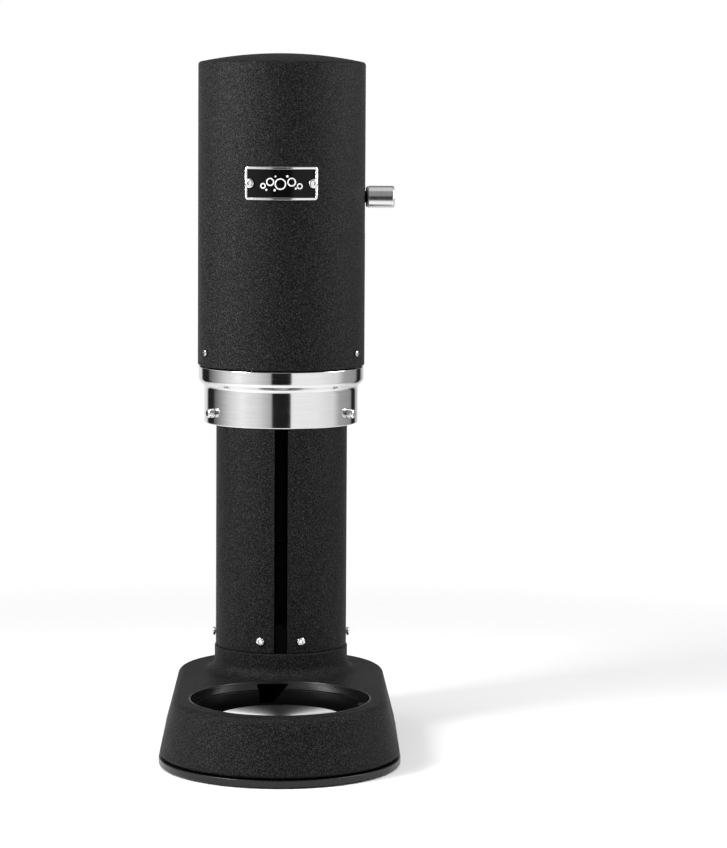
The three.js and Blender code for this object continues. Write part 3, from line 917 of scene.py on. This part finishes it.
def makeHeadShell():
    low, apex = ends("head_shell")
    radius = reach("head_shell")
    wall, curve = head["wall"], head["domeRadius"]
    inner = radius - wall
    spread = [0.12, 0.24, 0.36, 0.48, 0.60, 0.72, 0.84]
    shape = [(0, apex - wall)]
    shape += [(inner * s, dome(inner * s, apex, curve) - wall) for s in spread]
    shape += [(inner, dome(inner, apex, curve) - wall, 1.5), (inner, low), (radius, low, head["footRound"])]
    shape += [(radius, dome(radius, apex, curve), head["rimRound"])]
    shape += [(radius * s, dome(radius * s, apex, curve)) for s in reversed(spread)]
    shape += [(0, apex)]
    made = thing("headShell", turned(shape, nozzleY, 192))
    armLow, armHigh = ends("carriage_arm")
    half = head["window"]
    tools = [moved(block(-half, half, 40, 62, armLow - 4, armHigh + 5), 0, nozzleY)]
    half, bottom = head["leverWay"], leverZ - head["leverTravel"]
    outline = rounded([
        (-half, bottom - half, half - 0.1), (half, bottom - half, half - 0.1),
        (half, leverZ + half, half - 0.1), (-half, leverZ + half, half - 0.1),
    ])
    tools.append(radial(prism([(x, y - leverZ) for x, y in outline], 50, 62), 90, leverZ, nozzleY))
    for angle in (-head["screwAngle"], head["screwAngle"]):
        tools.append(radial(rod(head["screwHole"], 48, 62, 0, 32), angle, head["screwZ"], nozzleY))
    cut(made, *tools)
    piece(made, "head", "powder_coat", powderCoat, "head_shell")


def makeShellScrews():
    radius, shank, start = shellScrew["radius"], shellScrew["shank"], shellScrew["from"]
    seat, face = shellScrew["seat"], shellScrew["face"]
    shape = [(0, start), (shank, start), (shank, seat), (radius, seat, 0.2), (radius, face, 0.7), (0, face)]
    for side, angle in (("left", -head["screwAngle"]), ("right", head["screwAngle"])):
        screw = thing("shellScrew" + side.title(), turned(shape, 0, 40))
        cut(screw, block(-3, 3, -0.35, 0.35, shellScrew["slot"], 60))
        screw.data.transform(Matrix.Rotation(math.radians(shellScrew["turn"]), 4, "Z"))
        setRadially(screw, angle, head["screwZ"], nozzleY)
        piece(screw, "head", "steel", polishedSteel, "shell_screw_" + side)


badge = {
    "corner": 2.0, "frame": 1.7, "back": 56.7, "face": 57.9, "field": 57.45, "inset": 0.35,
    "screwAngle": 21.2, "line": 0.42, "raised": 0.14,
    "bubbles": [(-12.2, -1.6, 1.5), (-7.4, 1.0, 2.3), (-0.6, -0.4, 3.4), (6.9, 0.9, 2.5), (12.3, -1.8, 1.6)],
    "smallBubbles": [
        (-9.9, -4.2, 0.7), (-4.4, -4.4, 0.8), (4.0, 4.7, 0.8), (9.6, -3.3, 0.7), (-3.9, 4.6, 0.6),
    ],
}
badgeScrew = {"radius": 3.1, "seat": 0.3, "face": 1.3, "shank": 1.2, "from": 54.8, "recess": 1.35}


def makeBadge():
    low, high = ends("badge_plate")
    centreZ = (low + high) / 2
    face, back = badge["face"], badge["back"]
    halfWidth = face * math.asin(ends("badge_plate", "x")[1] / face)
    halfHeight = (high - low) / 2
    wide, under = badge["frame"], back - face + 0.2
    frameShape = rounded([(-wide, under), (0, under), (0, 0, 0.45), (-wide, 0, 0.35)])
    path = rectanglePath(halfWidth, halfHeight, badge["corner"])
    border = thing("badgeFrame", wrapped(sweep(path, frameShape), face, centreZ, nozzleY))
    piece(border, "head", "steel", polishedSteel)
    front = badge["field"]
    slab = turned([(back, low - 5), (front, low - 5), (front, high + 5), (back, high + 5)], 0, 240)
    field = thing("badgeField", slab)
    corner, inset = badge["corner"], badge["inset"]
    flatHalf = face * math.sin(halfWidth / face) - inset
    outline = rounded([
        (-flatHalf, low + inset, corner), (flatHalf, low + inset, corner),
        (flatHalf, high - inset, corner), (-flatHalf, high - inset, corner),
    ])
    combined(field, "INTERSECT", [upright(prism(outline, 40, 62))])
    field.data.transform(Matrix.Translation((0, nozzleY, 0)))
    piece(field, "head", "gloss_black", glossBlack, "badge_plate")
    motif = bmesh.new()
    lift = front - face
    half, under, over = badge["line"], lift - 0.1, lift + badge["raised"]
    for x, y, radius in badge["bubbles"]:
        shape = rounded([(-half, under), (half, under), (half, over, 0.1), (-half, over, 0.1)])
        addTo(motif, wrapped(sweep(circlePath(x, y, 40, radius), shape), face, centreZ, nozzleY))
    for x, y, radius in badge["smallBubbles"]:
        shape = rounded([(0, under), (radius, under), (radius, over, 0.1), (0, over)])
        addTo(motif, wrapped(sweep(circlePath(x, y, 28), shape), face, centreZ, nozzleY))
    piece(thing("badgeBubbles", motif), "head", "gloss_black", whiteEnamel)
    for side, angle in (("left", -badge["screwAngle"]), ("right", badge["screwAngle"])):
        screw = socketScrew("badgeScrew" + side.title(), badgeScrew, face, angle, centreZ, nozzleY)
        piece(screw, "head", "steel", polishedSteel, "badge_screw_" + side)


def addTo(mesh, other):
    data = bpy.data.meshes.new("part")
    other.to_mesh(data)
    other.free()
    mesh.from_mesh(data)
    bpy.data.meshes.remove(data)


headFoot = {
    "inner": 48.1, "sleeve": 50.5, "outer": 54.1, "step": 274.5, "guardWall": 1.4, "leverGap": 446,
    "sealHole": 6, "sealRadius": 17.5, "sealLow": 441, "sealHigh": 446,
    "nozzleHole": 2.8, "nozzle": 16, "nozzleNeck": 8.1, "neckFrom": 456,
}


def makeHeadFoot():
    # what shows from below and between head and column
    low, high = ends("head_base_ring")
    inner, sleeve, outer, step = [headFoot[key] for key in ("inner", "sleeve", "outer", "step")]
    made = thing("headFootRing", turned([
        (inner, low, 0.3), (sleeve, low, 0.4), (sleeve, step),
        (outer, step, 0.5), (outer, high, 0.5), (inner, high, 0.3),
    ], nozzleY))
    piece(made, "head", "black_plastic", satinPlastic, "head_base_ring")
    low, high = ends("bottle_guard")
    outer = reach("bottle_guard")
    inner = outer - headFoot["guardWall"]
    made = thing("bottleGuard", turned([
        (inner, low, 0.3), (outer, low, 0.3), (outer, high, 0.2), (inner, high, 0.2),
    ], nozzleY))
    cut(made, moved(block(35, 60, -5, 5, headFoot["leverGap"], high + 1), 0, nozzleY))
    piece(made, "head", "steel", plainSteel, "bottle_guard")
    hole, outer = headFoot["sealHole"], headFoot["sealRadius"]
    low, high = headFoot["sealLow"], headFoot["sealHigh"]
    made = thing("bottleSeal", turned([
        (hole, low, 0.6), (outer, low, 1.4), (outer, high, 0.4), (hole, high, 0.4),
    ], nozzleY, 64))
    piece(made, "head", "rubber", softRubber, "bottle_seal")
    low, high = ends("nozzle_body")
    hole, outer = headFoot["nozzleHole"], headFoot["nozzle"]
    neck, step = headFoot["nozzleNeck"], headFoot["neckFrom"]
    made = thing("gasNozzle", turned([
        (hole, low), (outer, low, 0.8), (outer, step, 1.0), (neck, step), (neck, high, 0.5), (hole, high),
    ], nozzleY, 64))
    piece(made, "head", "black_plastic", satinPlastic, "nozzle_body")
    low, high = ends("injector_tube")
    made = thing("injectorTube", turned([
        (0.7, low), (1.5, low, 0.3), (2.5, low + 9, 1.5), (2.5, high, 0.3), (1.4, high), (1.4, low + 9),
    ], nozzleY, 40))
    piece(made, "head", "steel", polishedSteel, "injector_tube")
    (x0, x1), (y0, y1), (z0, z1) = [ends("carriage_arm", axis) for axis in "xyz"]
    made = eased(thing("carriageArm", block(x0, x1, y0, y1, z0, z1)), 0.8)
    piece(made, "head", "aluminium", satinAluminium, "carriage_arm")


spring = {"turns": 3.5, "wire": 0.32, "lower": 4.4, "upper": 3.7, "steps": 120, "sides": 8, "keep": 0.03}


def makeSpring():
    # a conical coil
    low, high = ends("valve_spring")
    wire, sides = spring["wire"], spring["sides"]
    mesh = bmesh.new()
    rings = []
    for i in range(spring["steps"] + 1):
        share = i / spring["steps"]
        angle = 2 * math.pi * spring["turns"] * share
        radius = spring["lower"] + (spring["upper"] - spring["lower"]) * share
        height = low + wire + (high - low - 2 * wire) * share
        ring = []
        for k in range(sides):
            turn = 2 * math.pi * k / sides
            out = radius + wire * math.cos(turn)
            place = (out * math.cos(angle), nozzleY + out * math.sin(angle), height + wire * math.sin(turn))
            ring.append(mesh.verts.new(place))
        rings.append(ring)
    for first, second in zip(rings, rings[1:]):
        for k in range(sides):
            mesh.faces.new((first[k], first[(k + 1) % sides], second[(k + 1) % sides], second[k]))
    mesh.faces.new(rings[0])
    mesh.faces.new(rings[-1])
    bmesh.ops.recalc_face_normals(mesh, faces=mesh.faces)
    made = piece(thing("valveSpring", mesh), "head", "steel", polishedSteel, "valve_spring")
    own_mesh(made)


makeHeadShell()
makeShellScrews()
makeBadge()
makeHeadFoot()
makeSpring()
print("head made")


# the lever and the locking ring

lever = {"flange": 7.1, "flangeFrom": 56.8, "neck": 4.0, "knobRound": 1.3, "innerRound": 0.4}


def alongX(mesh):
    # lays a mesh made along +z along +x, at the lever's height
    mesh.transform(Matrix.Rotation(math.radians(90), 4, "Y"))
    return moved(mesh, 0, nozzleY, leverZ)


def makeLever():
    x0, x1 = ends("lever_neck", "x")
    neck, flange, start = lever["neck"], lever["flange"], lever["flangeFrom"]
    shape = [
        (0, x0), (neck, x0, 0.3), (neck, start), (flange - 0.9, start, 0.2), (flange, 57.6, 0.3),
        (flange, x1, 0.15), (0, x1),
    ]
    made = thing("leverNeck", alongX(turned(shape, 0, 64)))
    piece(made, "lever", "black_plastic", satinPlastic, "lever_neck")
    x0, x1 = ends("lever_knob", "x")
    y0, y1 = ends("lever_knob", "y")
    radius = (y1 - y0) / 2
    shape = [(0, x0), (radius, x0, lever["innerRound"]), (radius, x1, lever["knobRound"]), (0, x1)]
    made = thing("leverKnob", alongX(turned(shape, 0, 96)))
    piece(made, "lever", "steel", turnedSteel, "lever_knob")


ring = {
    "inner": 47.8, "lower": 52.0, "sleeve": 50.8, "step": 262,
    "shoulderLow": 259.4, "shoulderHigh": 263.4, "shoulderRound": 4.4,
}
pins = {"radius": 3.05, "angle": 60, "inside": 48.2, "reach": 56.9, "gap": 0.35}


def makeRing():
    low, high = ends("lock_ring")
    upper = reach("lock_ring")
    inner, lower, sleeve, bend = ring["inner"], ring["lower"], ring["sleeve"], ring["shoulderRound"]
    made = thing("lockRing", turned([
        (inner, low, 0.4), (lower, low, 0.9),
        (lower, ring["shoulderLow"], bend), (upper, ring["shoulderHigh"], bend),
        (upper, high, 0.6), (sleeve, high, 0.3), (sleeve, ring["step"]), (inner, ring["step"]),
    ], nozzleY, 192))
    pinZ = middle("lock_pin_left", "z")
    hole = pins["radius"] + pins["gap"]
    tools = []
    for angle in (-pins["angle"], pins["angle"]):
        tools.append(radial(rod(hole, 44, 56, 0, 48), angle, pinZ, nozzleY))
    cut(made, *tools)
    piece(made, "lock_ring", "steel", brushedSteel, "lock_ring")
    radius, start, end = pins["radius"], pins["inside"], pins["reach"]
    for side, angle in (("left", -pins["angle"]), ("right", pins["angle"])):
        shape = [(0, start), (radius, start, 0.3), (radius, end, 1.6), (0, end)]
        made = thing("lockPin" + side.title(), radial(turned(shape, 0, 64), angle, pinZ, nozzleY))
        piece(made, "lock_ring", "steel", polishedSteel, "lock_pin_" + side)


makeLever()
makeRing()
print("lever and ring made")


# the studio

studio = {
    "floor": 1.0, "fadeFrom": 0.38, "fadeTo": 0.75, "floorTone": 0.93, "above": 0.9, "strength": 1.0,
    "rise": [(0.08, 0.0), (0.20, 1.0)], "lift": [(0.86, 0.0), (0.94, 1.0)],
}
# soft lights near the head: place and aim in metres, width, height, watts
softLights = {
    "softLightLeft": ((-0.50, -0.33, 0.60), (0, -0.058, 0.40), 0.20, 0.45, 7.0),
    "softLightRight": ((0.56, -0.08, 0.58), (0, -0.058, 0.40), 0.20, 0.45, 3.4),
}
# brightness round the machine, as (degrees from the front, level): left is negative.
# The first list is level with the machine, the second is higher up.
around = [
    (-180, 0.95), (-147, 0.95), (-141, 0.02), (-121, 0.02), (-118, 0.15), (-100, 0.5), (-82, 0.95),
    (-60, 1.2), (-35, 1.0), (-13.5, 0.55), (-12.5, 0.01), (14.5, 0.01), (15.5, 1.25), (55, 1.2),
    (85, 0.95), (98, 0.5), (128, 0.38), (133, 0.02), (146, 0.02), (150, 0.5), (165, 0.8), (180, 0.95),
]
higher = [
    (-180, 0.3), (-128, 0.3), (-110, 1.1), (-60, 1.3), (-40, 0.5), (0, 0.35), (50, 0.35), (74, 1.0),
    (112, 1.0), (128, 0.3), (180, 0.3),
]


def makeStudio():
    floorMesh = bmesh.new()
    bmesh.ops.create_circle(floorMesh, cap_ends=True, segments=96, radius=studio["floor"])
    floor = thing("floor", floorMesh)
    material = bpy.data.materials.new("paleFloor")
    nodes = Nodes(material)
    grain = nodes.noise(nodes.places(), 3, 2, 0.5)
    tone = studio["floorTone"]
    shader = nodes.add("ShaderNodeBsdfDiffuse", None, {
        "Color": nodes.tint(grain, grey(tone * 0.995), grey(tone))})
    # the floor fades into the white background away from the machine
    out = nodes.add("ShaderNodeVectorMath", {"operation": "LENGTH"}, {0: nodes.places()}, output=1)
    fade = nodes.steps(out, [(studio["fadeFrom"], 0.0), (studio["fadeTo"], 1.0)])
    clear = nodes.add("ShaderNodeBsdfTransparent")
    faded = nodes.add("ShaderNodeMixShader", None, {0: fade, 1: shader, 2: clear})
    nodes.add("ShaderNodeOutputMaterial", None, {"Surface": faded})
    floor.data.materials.append(material)

    world = bpy.data.worlds.new("studio")
    bpy.context.scene.world = world
    nodes = Nodes(world)
    direction = nodes.add("ShaderNodeTexCoord", output=0)
    across = nodes.add("ShaderNodeSeparateXYZ", None, {0: direction}, output=0)
    along = nodes.add("ShaderNodeSeparateXYZ", None, {0: direction}, output=1)
    up = nodes.add("ShaderNodeSeparateXYZ", None, {0: direction}, output=2)
    angle = across.maths("ARCTAN2", across, along * -1)
    turn = angle / (2 * math.pi) + 0.5
    bands = []
    for band in (around, higher):
        peak = max(level for place, level in band)
        bands.append(nodes.steps(turn, [((place + 180) / 360, level / peak) for place, level in band]) * peak)
    # how far the second list, and then the light above, have taken over at each height
    rise = nodes.steps(up, studio["rise"])
    lift = nodes.steps(up, studio["lift"])
    level = bands[0] * (1 - rise) + bands[1] * rise
    level = level * (1 - lift) + lift * studio["above"]
    light = nodes.add("ShaderNodeBackground", None, {"Color": level, "Strength": studio["strength"]})
    white = nodes.add("ShaderNodeBackground", None, {"Color": grey(1.0), "Strength": 1.0})
    seen = nodes.add("ShaderNodeLightPath", output=0)
    shown = nodes.add("ShaderNodeMixShader", None, {0: seen, 1: light, 2: white})
    nodes.add("ShaderNodeOutputWorld", None, {"Surface": shown})


def makeLights():
    for name, (place, aim, wide, tall, watts) in softLights.items():
        data = bpy.data.lights.new(name, "AREA")
        data.shape = "RECTANGLE"
        data.size = wide
        data.size_y = tall
        data.energy = watts
        light = bpy.data.objects.new(name, data)
        light.location = place
        light.rotation_euler = (Vector(aim) - Vector(place)).to_track_quat("-Z", "Y").to_euler()
        light.visible_camera = False
        bpy.context.scene.collection.objects.link(light)


view = {
    "side": 0.01025, "away": 2.0781, "height": 0.4485, "down": 4.025, "right": 1.252, "roll": 0.313,
    "lens": 130.6, "shift": -0.12,
}


def makeCamera():
    lens = bpy.data.cameras.new("camera")
    lens.lens = view["lens"]
    lens.sensor_width = 36
    lens.clip_end = 60
    camera = bpy.data.objects.new("camera", lens)
    lens.shift_y = view["shift"]
    camera.matrix_world = (
        Matrix.Translation((view["side"], nozzleY * mm - view["away"], view["height"]))
        @ Matrix.Rotation(math.radians(-view["right"]), 4, "Z")
        @ Matrix.Rotation(math.radians(90 - view["down"]), 4, "X")
        @ Matrix.Rotation(math.radians(view["roll"]), 4, "Z")
    )
    bpy.context.scene.collection.objects.link(camera)
    bpy.context.scene.camera = camera


makeStudio()
makeLights()
makeCamera()
scene = bpy.context.scene
scene.view_settings.view_transform = "Standard"
scene.view_settings.look = "None"
print("studio made")
